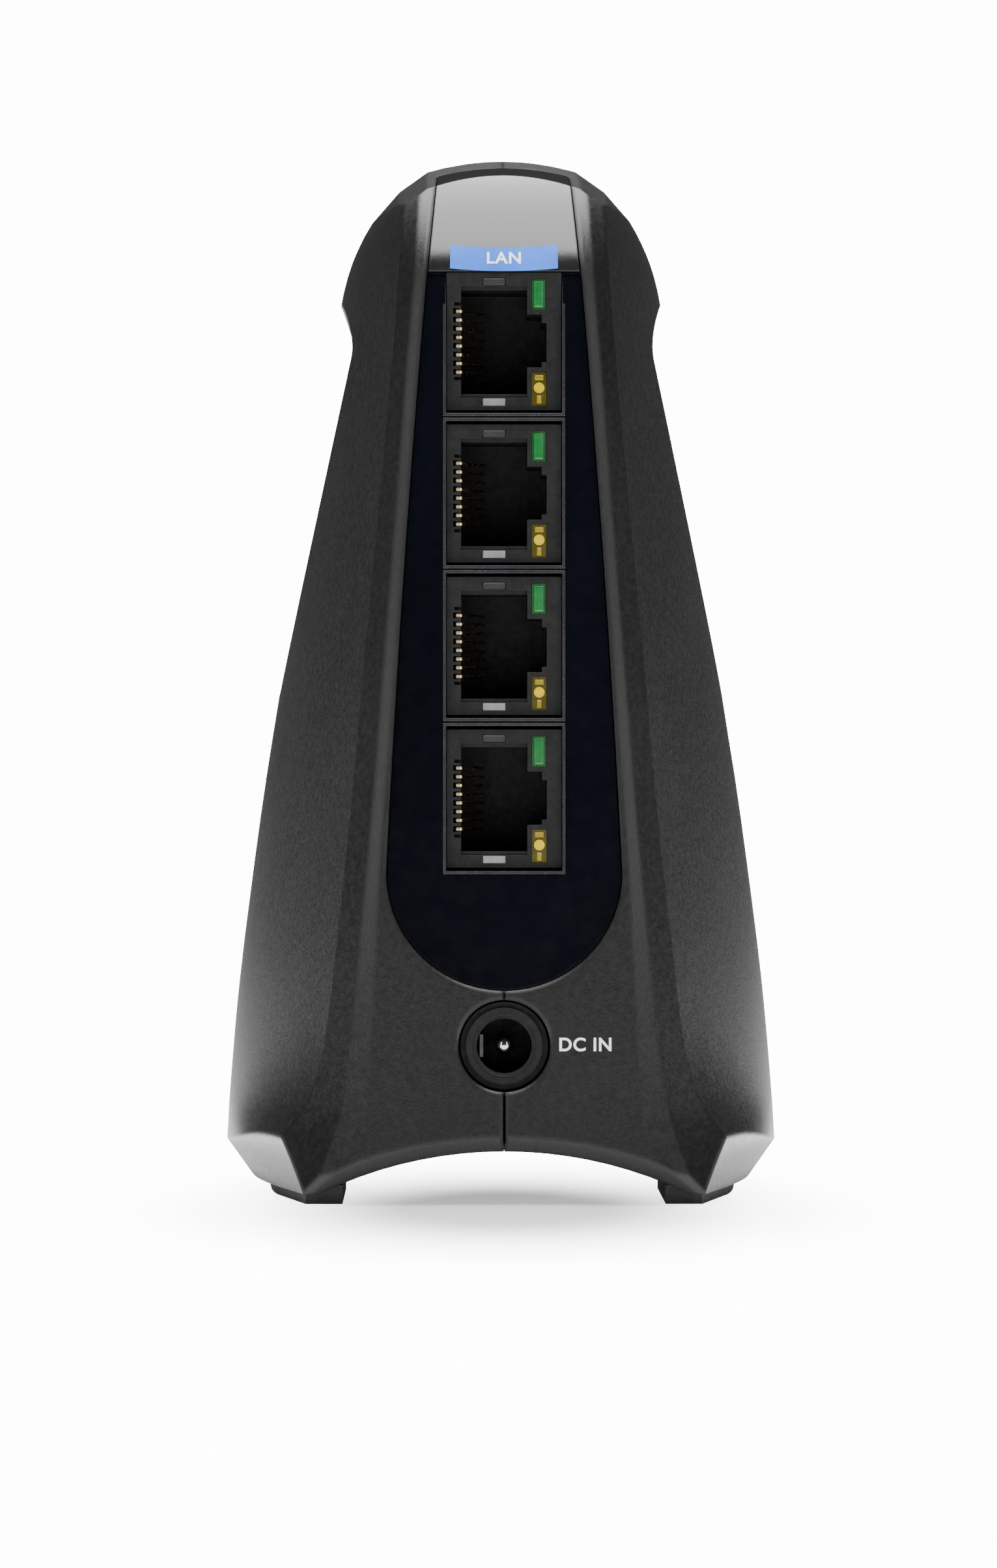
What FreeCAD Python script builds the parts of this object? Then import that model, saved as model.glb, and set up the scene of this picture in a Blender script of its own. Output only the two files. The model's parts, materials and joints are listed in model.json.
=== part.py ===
"""Upright four-port network unit: an A-shaped housing with the ports on its narrow rear end.

Millimetres. X is right as seen from the rear, the rear faces -Y and Z is up. The model is built with
the rear foot of its end face at y = 0, and moved at the end so that the origin is the middle of the
footprint.
"""

import FreeCAD, Part
import math
import os

from FreeCAD import Vector

# ---------------------------------------------------------------- driving dimensions
DEPTH = 130.0                # rear end to front end, at the base
MID_Y = DEPTH / 2
TOP_Z = 125.4                # highest point of the spine
BASE_Z = 1.3                 # underside of the housing, above the feet's soles
MOUTH_Z = 8.0                # where the tunnel's mouth begins to flare
WALL = 2.0                   # housing wall
RECESS_SKIN = 2.6            # wall behind the scooped side, measured level
FIT_GAP = 0.06               # around parts let into the housing
CROWN_R = 260.0              # arch of the spine along the depth
REAR_LEAN = 0.05             # rear face, mm of depth per mm of height
FRONT_LEAN = 0.07
REAR_TURN_Z = 102.0          # the rear face turns over the top from here
REAR_TURN_R = 22.0
FRONT_TURN_Z = 98.0
FRONT_TURN_R = 28.0
ARCH_R = 49.3                # tunnel under the base
ARCH_TOP_Z = 6.2

# height, half width at: panel edge, ridge, band edge, widest point
STATIONS = [
    (1.3, 17.4, 22.4, 27.6, 34.0),
    (4.5, 16.8, 21.0, 26.8, 33.9),
    (8.0, 16.2, 19.7, 25.7, 33.7),
    (10.0, 16.0, 19.1, 24.1, 33.6),
    (14.0, 15.7, 18.4, 22.1, 33.3),
    (20.0, 15.3, 17.7, 20.7, 32.8),
    (31.0, 14.8, 16.7, 19.4, 31.6),
    (48.0, 13.75, 15.2, 17.6, 29.3),
    (66.0, 12.45, 13.8, 16.0, 26.4),
    (84.0, 11.15, 12.4, 14.3, 23.5),
    (101.0, 9.75, 11.1, 12.8, 20.8),
    (108.2, 9.2, 10.5, 12.3, 19.7),
    (114.2, 8.8, 10.1, 11.9, 17.9),
    (119.0, 8.4, 9.7, 11.5, 15.0),
    (123.0, 8.1, 9.3, 10.7, 11.7),
]
# the chamfer along each lower side, by depth: half width at the sole, half width and height at its top
CHAMFER_LINE = [
    (-12.0, 20.9, 22.2, 8.4),
    (6.0, 24.2, 26.0, 7.9),
    (30.0, 28.4, 31.0, 6.3),
    (65.0, 30.8, 33.8, 5.3),
]

RIDGE_BACK = 0.5             # ridge behind the end face
BAND_SLOPE = 0.9             # band edge behind the ridge, per mm of width

PORT_COUNT = 4
PORT_PITCH = 17.78
PORT_LOW_Z = 47.2            # centre of the lowest port
CUTOUT_W = 13.65
CUTOUT_H = 16.9
JACK_W = 13.4
JACK_H = 16.1
JACK_D = 21.0
JACK_LEFT_X = -6.7           # the jacks stand on the board at this x
PLUG_DEPTH = 13.0
CONTACT_PITCH = 1.016
CONTACT_R = 0.19
PANEL_STEP = 0.5             # the port panel lies this far below the cap
PLATE_T = 1.7                # panel and cap thickness, with the step

DC_Z = 18.5
DC_HOLE_R = 5.35
DC_NOSE_R = 5.1
DC_RING_R = 4.45
DC_BORE_R = 3.2
DC_PIN_R = 1.05

BOARD_T = 1.6
BOARD_X = JACK_LEFT_X        # component side of the main board

LIP_Z = 108.7                # lower edge of the top cap
CAP_END_Y = 24.0             # the cap ends here on top

REACH = 400.0                # longer than anything in the model


# ---------------------------------------------------------------- small helpers
def v(x, y, z):
    return Vector(x, y, z)


def box(x0, x1, y0, y1, z0, z1):
    return Part.makeBox(x1 - x0, y1 - y0, z1 - z0, v(x0, y0, z0))


def cylinder(r, length, base, axis):
    return Part.makeCylinder(r, length, base, axis)


def outline(points):
    """A closed face through the points; a pair of points in a tuple is an arc's middle and end."""
    edges = []
    here = points[0]
    for step in points[1:]:
        if isinstance(step, tuple):
            edges.append(Part.Arc(here, step[0], step[1]).toShape())
            here = step[1]
        else:
            edges.append(Part.makeLine(here, step))
            here = step
    if here.distanceToPoint(points[0]) > 1e-6:
        edges.append(Part.makeLine(here, points[0]))
    return Part.Face(Part.Wire(edges))


def mirrored(shape):
    return shape.mirror(v(0, 0, 0), v(1, 0, 0))


def fused(shapes):
    shapes = list(shapes)
    body = shapes[0]
    if len(shapes) > 1:
        body = body.multiFuse(shapes[1:])
    return body.removeSplitter()


# ---------------------------------------------------------------- housing form
def end_offset(z, lean, turn_z, turn_r):
    """How far the end face has drawn in at a height: a leaning line, then an arc over the top."""
    if z <= turn_z:
        return lean * (z - BASE_Z)
    rise = min((z - turn_z) / turn_r, 1.0)
    return lean * (turn_z - BASE_Z) + turn_r * (1.0 - math.sqrt(1.0 - rise * rise))


def rear_y(z):
    return end_offset(z, REAR_LEAN, REAR_TURN_Z, REAR_TURN_R)


def front_y(z):
    return DEPTH - end_offset(z, FRONT_LEAN, FRONT_TURN_Z, FRONT_TURN_R)


def section(station, inset):
    """One level outline of the housing: flat ends, a ridge and a band, and one arc down each side."""
    z, panel, ridge, band, wide = station
    y0 = rear_y(z) + inset
    y1 = front_y(z) - inset
    ridge -= inset * 0.6
    band -= inset
    wide = max(wide - inset, band + 0.4)
    back = RIDGE_BACK + BAND_SLOPE * (band - ridge)
    right = [
        v(panel - inset * 0.5, y0, z), v(ridge, y0 + RIDGE_BACK, z), v(band, y0 + back, z),
        v(band, y1 - back, z), v(ridge, y1 - RIDGE_BACK, z), v(panel - inset * 0.5, y1, z),
    ]
    left = [v(-p.x, p.y, p.z) for p in right]
    edges = [
        Part.makeLine(left[0], right[0]),
        Part.makeLine(right[0], right[1]),
        Part.makeLine(right[1], right[2]),
        Part.Arc(right[2], v(wide, MID_Y, z), right[3]).toShape(),
        Part.makeLine(right[3], right[4]),
        Part.makeLine(right[4], right[5]),
        Part.makeLine(right[5], left[5]),
        Part.makeLine(left[5], left[4]),
        Part.makeLine(left[4], left[3]),
        Part.Arc(left[3], v(-wide, MID_Y, z), left[2]).toShape(),
        Part.makeLine(left[2], left[1]),
        Part.makeLine(left[1], left[0]),
    ]
    return Part.Wire(edges)


def crown(inset):
    """The domed spine: its cross-section swung about a level axis far below."""
    axis_z = TOP_Z - CROWN_R
    top = TOP_Z - inset
    face = outline([
        v(-9.0, MID_Y, top - 1.3),
        (v(0, MID_Y, top), v(9.0, MID_Y, top - 1.3)),
        v(12.4 - inset * 0.4, MID_Y, top - 3.7),
        v(REACH / 4, MID_Y, top - 3.7 - REACH / 4),
        v(REACH / 4, MID_Y, -60),
        v(-REACH / 4, MID_Y, -60),
        v(-REACH / 4, MID_Y, top - 3.7 - REACH / 4),
        v(-12.4 + inset * 0.4, MID_Y, top - 3.7),
    ])
    face.rotate(v(0, MID_Y, axis_z), v(1, 0, 0), -25)
    return face.revolve(v(0, MID_Y, axis_z), v(1, 0, 0), 50)


def chamfer_tool(inset=0.0):
    """What the chamfer takes off the lower right side, swept along the depth."""
    stations = CHAMFER_LINE + [(DEPTH - y, low, high, z) for y, low, high, z in reversed(CHAMFER_LINE[:-1])]
    wires = []
    for y, low, high, z in stations:
        foot, edge = v(low - inset, y, BASE_Z), v(high - inset, y, z)
        run = edge.sub(foot)
        below, above = foot.sub(run), edge.add(run)
        far = v(REACH / 4, y, below.z)
        wires.append(Part.makePolygon([below, above, v(REACH / 4, y, above.z), far, below]))
    return Part.makeLoft(wires, True, False)


def hull(inset=0.0):
    """The housing's outer form, or the same form drawn in by a wall."""
    body = Part.makeLoft([section(s, inset) for s in STATIONS], True, False)
    cap = Part.Face(section(STATIONS[-1], inset)).extrude(v(0, 0, 6))
    chamfer = chamfer_tool(inset)
    return fused([body, cap]).common(crown(inset)).cut(chamfer).cut(mirrored(chamfer))


def side_recess():
    """The scooped side below the hood's lip, right side: deepest under the lip, gone lower down."""
    lip, notch, fade = 108.0, 102.5, 60.0
    face = outline([
        v(19.6, MID_Y, lip),
        (v(18.35, MID_Y, lip - 2.2), v(18.1, MID_Y, notch)),
        v(27.25, MID_Y, fade),
        v(27.25 + 10, MID_Y, fade),
        v(27.25 + 10, MID_Y, lip),
    ])
    axis_z = TOP_Z - CROWN_R
    face.rotate(v(0, MID_Y, axis_z), v(1, 0, 0), -12)
    wedge = face.revolve(v(0, MID_Y, axis_z), v(1, 0, 0), 24)
    half, shoulder, top, low = 35.0, 102.0, 110.0, 50.0
    window = outline([
        v(0, MID_Y - half - 4, low),
        v(0, MID_Y - half, shoulder),
        (v(0, MID_Y, top), v(0, MID_Y + half, shoulder)),
        v(0, MID_Y + half + 4, low),
    ]).extrude(v(REACH / 4, 0, 0))
    return wedge.common(window)


def arch_tool(extra=0.0):
    """The tunnel through the base, with a flared mouth at each end."""
    centre_z = ARCH_TOP_Z - ARCH_R
    r = ARCH_R + extra
    tool = cylinder(r, DEPTH + 40, v(0, -20, centre_z), v(0, 1, 0))
    if extra:
        return tool
    flare = 1.7
    rear = Part.makeCone(r + flare + 2, r, 4.0, v(0, rear_y(MOUTH_Z) - 2.2, centre_z), v(0, 1, 0))
    front = Part.makeCone(r, r + flare + 2, 4.0, v(0, front_y(MOUTH_Z) - 1.8, centre_z), v(0, 1, 0))
    return fused([tool, rear, front])


def spine_profile(inset):
    """The rear and top outline of the spine seen from the side, as a bar through the housing."""
    turn_y = REAR_LEAN * (REAR_TURN_Z - BASE_Z)
    arc_y = turn_y + REAR_TURN_R
    r = REAR_TURN_R - inset
    diagonal = r * math.sqrt(0.5)
    face = outline([
        v(-60, inset, BASE_Z),
        v(-60, turn_y + inset, REAR_TURN_Z),
        (v(-60, arc_y - diagonal, REAR_TURN_Z + diagonal), v(-60, arc_y, REAR_TURN_Z + r)),
        v(-60, MID_Y, REAR_TURN_Z + r + 10),
        v(-60, MID_Y, BASE_Z),
    ])
    return face.extrude(v(120, 0, 0)).common(crown(inset))


def panel_prism(grow, y1):
    """The panel and cap outline seen from the rear, right through in depth."""
    bottom_z, centre_z = 25.0 - grow, 38.6
    half = 13.6 + grow
    face = outline([
        v(-half, -20, centre_z),
        (v(-12.05 - grow, -20, 66), v(-8.85 - grow, -20, LIP_Z)),
        v(-7.6 - grow, -20, 122),
        v(-7.4 - grow, -20, 140),
        v(7.4 + grow, -20, 140),
        v(7.6 + grow, -20, 122),
        v(8.85 + grow, -20, LIP_Z),
        (v(12.05 + grow, -20, 66), v(half, -20, centre_z)),
        (v(0, -20, bottom_z), v(-half, -20, centre_z)),
    ])
    return face.extrude(v(0, 20 + y1, 0))


def port_z(i):
    return PORT_LOW_Z + PORT_PITCH * (PORT_COUNT - 1 - i)


def port_y(i):
    """Face of a jack: just behind the panel's outer face at the port's top edge."""
    return rear_y(port_z(i)) + PANEL_STEP + 0.75


# ---------------------------------------------------------------- housing nodes
def shells():
    outer = hull()
    recess = side_recess()
    outer = outer.cut(recess).cut(mirrored(recess)).cut(arch_tool())
    inner = hull(WALL)
    inner = inner.cut(box(-REACH, REACH, -REACH, REACH, -REACH, BASE_Z + WALL))
    inner_recess = recess.copy()
    inner_recess.translate(v(-RECESS_SKIN, 0, 0))
    inner = inner.cut(inner_recess).cut(mirrored(inner_recess)).cut(arch_tool(WALL))
    body = outer.cut(inner)
    pocket = panel_prism(0.12, CAP_END_Y + 0.12).cut(spine_profile(PLATE_T + 0.05))
    body = body.cut(pocket)
    window = panel_prism(-1.6, 14).cut(box(-50, 50, -50, 50, LIP_Z + 0.2, 200))
    body = body.cut(window)
    body = body.cut(cylinder(DC_HOLE_R, 12, v(0, -4, DC_Z), v(0, 1, 0)))
    seam = box(-0.16, 0.16, -5, rear_y(20) + 0.45, 0, 26)
    body = body.cut(seam)
    for hole in button_holes():
        body = body.cut(hole)
    for hole in foot_screw_holes() + foot_notches():
        body = body.cut(hole)
    halves = {}
    for name, x0, x1 in (("left_shell", -80, -0.02), ("right_shell", 0.02, 80)):
        half = body.common(box(x0, x1, -20, DEPTH + 20, -5, TOP_Z + 5))
        halves[name] = max(half.Solids, key=lambda s: s.Volume)
    return halves


def port_panel():
    plate = spine_profile(PANEL_STEP).cut(spine_profile(PLATE_T))
    plate = plate.common(panel_prism(0, 30)).common(box(-50, 50, -50, 50, 0, LIP_Z - 0.1))
    for i in range(PORT_COUNT):
        z = port_z(i)
        plate = plate.cut(box(-CUTOUT_W / 2, CUTOUT_W / 2, -10, 40, z - CUTOUT_H / 2, z + CUTOUT_H / 2))
    return plate.Solids[0]


def top_cap():
    plate = spine_profile(0.0).cut(spine_profile(PLATE_T))
    plate = plate.common(panel_prism(0, CAP_END_Y)).common(box(-50, 50, -50, 50, LIP_Z, 200))
    return max(plate.Solids, key=lambda s: s.Volume)


def port_label():
    skin = spine_profile(-0.14).cut(spine_profile(0.0))
    face = outline([
        v(-6.3, -10, LIP_Z + 0.35), (v(0, -10, LIP_Z + 0.02), v(6.3, -10, LIP_Z + 0.35)),
        v(6.25, -10, LIP_Z + 3.2), (v(0, -10, LIP_Z + 2.85), v(-6.25, -10, LIP_Z + 3.2)),
    ])
    return skin.common(face.extrude(v(0, 40, 0))).Solids[0]


# ---------------------------------------------------------------- jacks
def jack_box(i, u0, u1, v0, v1, d0, d1):
    """A box in a jack's face: u from its left edge, v from its top edge, d behind the face."""
    y, top = port_y(i), port_z(i) + JACK_H / 2
    return box(JACK_LEFT_X + u0, JACK_LEFT_X + u1, y + d0, y + d1, top - v1, top - v0)


def contact_v(k):
    return JACK_H / 2 + (k - 3.5) * CONTACT_PITCH


def jack(i):
    body = jack_box(i, 0, JACK_W, 0, JACK_H, 0, JACK_D)
    cuts = [
        jack_box(i, 1.7, 9.4, 2.05, 14.2, -1, PLUG_DEPTH),
        jack_box(i, 9.3, 11.1, 4.9, 11.1, -1, PLUG_DEPTH),
        jack_box(i, 11.0, 11.67, 5.9, 10.5, -1, PLUG_DEPTH),
        jack_box(i, 9.9, 11.6, 0.74, 4.4, -1, 6),
        jack_box(i, 9.9, 11.7, 11.6, 15.5, -1, 6),
        jack_box(i, 4.2, 6.9, 0.6, 1.55, -1, 5),
        jack_box(i, 4.2, 6.9, 14.65, 15.6, -1, 5),
        jack_box(i, 1.7, 9.4, 1.6, 14.65, -1, 0.45),
    ]
    for k in range(8):
        mid = contact_v(k)
        cuts.append(jack_box(i, 0.78, 1.75, mid - 0.33, mid + 0.33, -1, 12.5))
        cuts.append(jack_box(i, -0.5, 0.85, mid - 0.33, mid + 0.33, 11.6, 12.5))
    for end in (contact_v(0) - 1.0, contact_v(7) + 0.6):
        cuts.append(jack_box(i, 0.9, 1.75, end, end + 0.4, -1, 2.0))
    for cut in cuts:
        body = body.cut(cut)
    return body


def rod(a, b, r):
    """A round wire from a to b."""
    return cylinder(r, a.distanceToPoint(b), a, b.sub(a))


def wire_path(points, r):
    pieces = [rod(a, b, r) for a, b in zip(points, points[1:])]
    pieces += [Part.makeSphere(r, p) for p in points[1:-1]]
    return fused(pieces)


def jack_contacts(i):
    """Eight sprung wires: along the floor of the comb, round the front bend and back into the socket."""
    y, top = port_y(i), port_z(i) + JACK_H / 2
    wires = []
    for k in range(8):
        z = top - contact_v(k)
        route = [(0.02, 12.05), (1.05, 12.05), (1.05, 1.5), (1.4, 1.1), (4.3, 8.6)]
        wires.append(wire_path([v(JACK_LEFT_X + u, y + d, z) for u, d in route], CONTACT_R))
    return Part.makeCompound(wires)


def green_lights():
    return Part.makeCompound([jack_box(i, 9.95, 11.55, 0.79, 4.35, 0.15, 5.9) for i in range(PORT_COUNT)])


def amber_lights():
    return Part.makeCompound([jack_box(i, 9.95, 11.65, 11.65, 15.45, 0.45, 5.9) for i in range(PORT_COUNT)])


def earth_tabs():
    return Part.makeCompound([jack_box(i, 4.25, 6.85, 14.7, 15.55, 0.12, 4.9) for i in range(PORT_COUNT)])


# ---------------------------------------------------------------- DC inlet
DC_FACE_Y = rear_y(DC_Z) + 0.55
DC_BORE_DEPTH = 9.5
DC_PIN_L = 7.6


def along_y(r, y0, y1, x=0.0, z=DC_Z):
    return cylinder(r, y1 - y0, v(x, y0, z), v(0, 1, 0))


def dc_jack():
    front = DC_FACE_Y
    body = fused([
        along_y(DC_RING_R, front, front + 6),
        along_y(DC_NOSE_R, front + 0.7, front + 6),
        box(JACK_LEFT_X, 4.9, front + 4, front + 14.2, DC_Z - 4.9, DC_Z + 4.9),
    ])
    return body.cut(along_y(DC_BORE_R, front - 1, front + DC_BORE_DEPTH))


def dc_pin():
    floor = DC_FACE_Y + DC_BORE_DEPTH
    tip = floor - DC_PIN_L + DC_PIN_R
    return fused([along_y(DC_PIN_R, tip, floor), Part.makeSphere(DC_PIN_R, v(0, tip, DC_Z))])


def dc_spring():
    front = DC_FACE_Y
    return box(-2.85, -2.45, front + 1.0, front + DC_BORE_DEPTH, DC_Z - 1.3, DC_Z + 1.3)


# ---------------------------------------------------------------- boards and what stands on them
def board_plate(x0, x1, points):
    face = outline([v(x0, y, z) for y, z in points])
    return face.extrude(v(x1 - x0, 0, 0))


BOARD_OUTLINE = [(5.6, 13), (9.4, 106), (16, 110), (104, 110), (112, 100), (115.5, 14)]
BOARD_SCREWS = [(27, 17), (40, 106), (98, 106), (107, 17)]
POST_GAP = 2.2


def main_board():
    plate = board_plate(BOARD_X - BOARD_T, BOARD_X, BOARD_OUTLINE)
    for y, z in BOARD_SCREWS:
        plate = plate.cut(cylinder(1.35, 20, v(BOARD_X - 10, y, z), v(1, 0, 0)))
    return plate


def board_screws():
    screws = []
    for y, z in BOARD_SCREWS:
        head = cylinder(2.3, 1.3, v(BOARD_X, y, z), v(1, 0, 0))
        slot = box(BOARD_X + 0.7, BOARD_X + 2, y - 0.3, y + 0.3, z - 1.7, z + 1.7)
        cross = box(BOARD_X + 0.7, BOARD_X + 2, y - 1.7, y + 1.7, z - 0.3, z + 0.3)
        shank = cylinder(1.15, 5.4, v(BOARD_X - 5.4, y, z), v(1, 0, 0))
        screws.append(fused([head, shank]).cut(slot).cut(cross))
    return Part.makeCompound(screws)


FOOT_SCREW_X = 24.3
FOOT_SCREW_Y = [34.0, DEPTH - 34.0]


def foot_screw_places():
    return [(sx * FOOT_SCREW_X, y) for sx in (-1, 1) for y in FOOT_SCREW_Y]


def chassis():
    """A frame beside the board, with posts for it, and two cross rails that the shells screw to."""
    x1 = BOARD_X - BOARD_T - POST_GAP
    x0 = x1 - 1.4
    plate = board_plate(x0, x1, [(21, 12.5), (26, 104), (30, 108), (100, 108), (104, 104), (110, 12.5)])
    for y0 in (31, 68):
        for z0 in (24, 64):
            plate = plate.cut(box(x0 - 1, x1 + 1, y0, y0 + 31, z0, z0 + 34))
    pieces = [plate]
    for y, z in BOARD_SCREWS:
        pieces.append(cylinder(2.4, POST_GAP, v(x1, y, z), v(1, 0, 0)))
    for y in FOOT_SCREW_Y:
        pieces.append(box(-FOOT_SCREW_X, FOOT_SCREW_X, y - 2.5, y + 2.5, 9.6, 12.6))
        for sx in (-1, 1):
            pieces.append(cylinder(2.6, 12.6 - FOOT_FLOOR_Z, v(sx * FOOT_SCREW_X, y, FOOT_FLOOR_Z), v(0, 0, 1)))
    frame = fused(pieces)
    for y, z in BOARD_SCREWS:
        frame = frame.cut(cylinder(1.15, 30, v(BOARD_X - 5.45, y, z), v(1, 0, 0)))
    for x, y in foot_screw_places():
        frame = frame.cut(cylinder(1.2, 9.4, v(x, y, 0), v(0, 0, 1)))
    return frame


FOOT_FLOOR_Z = BASE_Z + WALL


def foot_screws():
    screws = []
    for x, y in foot_screw_places():
        head = cylinder(2.2, 1.1, v(x, y, BASE_Z + 0.1), v(0, 0, 1))
        shank = cylinder(1.2, 6.7, v(x, y, BASE_Z + 1.2), v(0, 0, 1))
        slot = box(x - 0.3, x + 0.3, y - 1.6, y + 1.6, BASE_Z, BASE_Z + 0.6)
        cross = box(x - 1.6, x + 1.6, y - 0.3, y + 0.3, BASE_Z, BASE_Z + 0.6)
        screws.append(fused([head, shank]).cut(slot).cut(cross))
    return Part.makeCompound(screws)


def foot_screw_holes():
    holes = []
    for x, y in foot_screw_places():
        holes.append(cylinder(1.35, 20, v(x, y, -5), v(0, 0, 1)))
        holes.append(cylinder(2.35, BASE_Z + 1.2 + 5, v(x, y, -5), v(0, 0, 1)))
    return holes


FOOT_STUB_X = 18.8
FOOT_PAD_X = 21.3
FOOT_OUT_X = 28.0
FOOT_NEAR = 4.2
FOOT_LEN = 35.0
FOOT_RIB_T = 2.2
FOOT_EDGE = 0.8              # the pad stays this far inside the sole's outline


def foot_rib(grow):
    """The thicker rib along a rear right foot's inner edge, which is let into the sole."""
    y0, y1 = FOOT_NEAR - grow, FOOT_NEAR + FOOT_LEN + grow
    return box(FOOT_STUB_X - grow, FOOT_PAD_X + grow, y0, y1, 0, FOOT_RIB_T + grow)


def sole_outside():
    """Everything outside the sole's right edge, drawn in a little, as deep as the pads."""
    edge = [v(low - FOOT_EDGE, y, -1) for y, low, high, z in CHAMFER_LINE]
    corners = [v(REACH / 4, edge[-1].y, -1), v(REACH / 4, edge[0].y, -1)]
    return Part.Face(Part.makePolygon(edge + corners + [edge[0]])).extrude(v(0, 0, 6))


def feet():
    """Each foot is a flat pad with a rounded outer edge, and its rib."""
    pad = outline([
        v(FOOT_PAD_X - 0.5, FOOT_NEAR, 0),
        v(FOOT_OUT_X - 1.4, FOOT_NEAR, 0),
        (v(FOOT_OUT_X - 0.35, FOOT_NEAR, 0.4), v(FOOT_OUT_X, FOOT_NEAR, BASE_Z - 0.02)),
        v(FOOT_PAD_X - 0.5, FOOT_NEAR, BASE_Z - 0.02),
    ]).extrude(v(0, FOOT_LEN, 0))
    rear = fused([pad.cut(sole_outside()), foot_rib(0.0)])
    front = rear.mirror(v(0, MID_Y, 0), v(0, 1, 0))
    return {
        "foot_rear_right": rear,
        "foot_rear_left": mirrored(rear),
        "foot_front_right": front,
        "foot_front_left": mirrored(front),
    }


def foot_notches():
    rear = foot_rib(FIT_GAP)
    front = rear.mirror(v(0, MID_Y, 0), v(0, 1, 0))
    return [rear, front, mirrored(rear), mirrored(front)]


def chip(y, z, wy, wz, t):
    """A package that stands on the board's component side."""
    return box(BOARD_X, BOARD_X + t, y - wy / 2, y + wy / 2, z - wz / 2, z + wz / 2)


PROCESSOR = (72.0, 60.0)


def board_parts():
    py, pz = PROCESSOR
    sink = chip(py, pz, 26, 26, 1.6)
    for k in range(7):
        y = py - 12.2 + k * 4.07
        sink = fused([sink, box(BOARD_X + 1.5, BOARD_X + 9, y - 0.5, y + 0.5, pz - 13, pz + 13)])
    sink.translate(v(2.1, 0, 0))
    pad = chip(py, pz, 14, 14, 0.5)
    pad.translate(v(1.6, 0, 0))
    coils = []
    for y in (40.0, 54.0):
        can = fused([chip(y, 22, 9, 9, 4.2), cylinder(3.6, 5.0, v(BOARD_X, y, 22), v(1, 0, 0))])
        coils.append(can)
    cans = []
    for y in (66.0, 77.5):
        cans.append(cylinder(4.0, 10.5, v(BOARD_X, y, 22), v(1, 0, 0)))
    cans.append(cylinder(3.15, 8.0, v(BOARD_X, 87, 21), v(1, 0, 0)))
    small = []
    for k in range(10):
        small.append(chip(52 + 4.1 * k, 40.2, 1.25, 2.0, 0.9))
    for k in range(8):
        small.append(chip(56.0, 46 + 2.6 * k, 1.6, 0.8, 0.6))
    for k in range(8):
        small.append(chip(90.0, 50 + 3.0 * k, 1.6, 0.8, 0.6))
    return {
        "ethernet_transformers": Part.makeCompound([chip(32.5, port_z(i), 8, 14, 4.6) for i in range(PORT_COUNT)]),
        "switch_chip": chip(46.5, 74, 14, 14, 1.4),
        "processor": chip(py, pz, 19, 19, 1.6),
        "thermal_pad": pad,
        "heat_sink": sink,
        "memory_chips": Part.makeCompound([chip(66, 85, 8, 12.5, 1.1), chip(78, 85, 8, 12.5, 1.1)]),
        "flash_chip": chip(98.5, 58, 6, 8, 1.7),
        "crystal": chip(46, 92, 3.2, 11, 3.4),
        "power_coils": Part.makeCompound(coils),
        "power_capacitors": Part.makeCompound(cans),
        "chip_capacitors": Part.makeCompound(small),
    }


# ---------------------------------------------------------------- radio
RADIO_X = 0.5
ANTENNA_X = 6.2


def radio_parts():
    board = box(RADIO_X, RADIO_X + 1.0, 90, 112, 26, 66)
    header = box(BOARD_X, RADIO_X, 92, 110, 27.5, 31.5)
    can = box(RADIO_X + 1.0, RADIO_X + 3.4, 93, 109, 34, 58)
    antennas = {}
    leads = []
    for name, y0, spot in (("antenna_rear", 34.0, 98.0), ("antenna_front", 72.0, 104.0)):
        plate = box(ANTENNA_X, ANTENNA_X + 0.8, y0, y0 + 26, 104, 113)
        antennas[name] = plate
        leads.append(lead([
            v(RADIO_X + 1.7, spot, 60.5), v(RADIO_X + 1.7, spot, 84.0),
            v(ANTENNA_X + 1.5, y0 + 15, 96.0), v(ANTENNA_X + 1.5, y0 + 13, 110.0),
        ]))
    return {
        "radio_board": board,
        "radio_header": header,
        "radio_can": can,
        "antenna_leads": Part.makeCompound(leads),
        **antennas,
    }


def lead(points, r=0.6):
    """A lead along straight runs joined by arcs as large as the runs allow."""
    edges = []
    here = points[0]
    for a, b, c in zip(points, points[1:], points[2:]):
        into, out = b.sub(a), c.sub(b)
        turn = into.getAngle(out)
        radius = 0.45 * min(into.Length, out.Length) / math.tan(turn / 2)
        back = radius * math.tan(turn / 2)
        into.normalize()
        out.normalize()
        start, end = b.sub(into * back), b.add(out * back)
        inward = out.sub(into).normalize()
        middle = b.add(inward * (radius / math.cos(turn / 2) - radius))
        edges.append(Part.makeLine(here, start))
        edges.append(Part.Arc(start, middle, end).toShape())
        here = end
    edges.append(Part.makeLine(here, points[-1]))
    path = Part.Wire(edges)
    first = points[1].sub(points[0])
    ring = Part.Wire(Part.Circle(points[0], first, r).toShape())
    tube = path.makePipeShell([ring], True, True)
    return tube


# ---------------------------------------------------------------- buttons, lens and lights
PAIR_Z = 46.0
PAIR_R = 6.0
PAIR_GAP = 0.3
PAIR_FACE_Y = front_y(PAIR_Z) + 0.5
LIGHT_BOARD_Y = front_y(PAIR_Z) - 9.0
LENS_W = 5.0
LENS_LOW_Z = 60.0
LENS_HIGH_Z = 90.0
LIGHTS_Z = [66.0, 75.0, 84.0]

RESET_X = -2.6
RESET_Y = 84.0
RESET_R = 1.5


def along_z(r, z0, z1, x, y):
    return cylinder(r, z1 - z0, v(x, y, z0), v(0, 0, 1))


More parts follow.
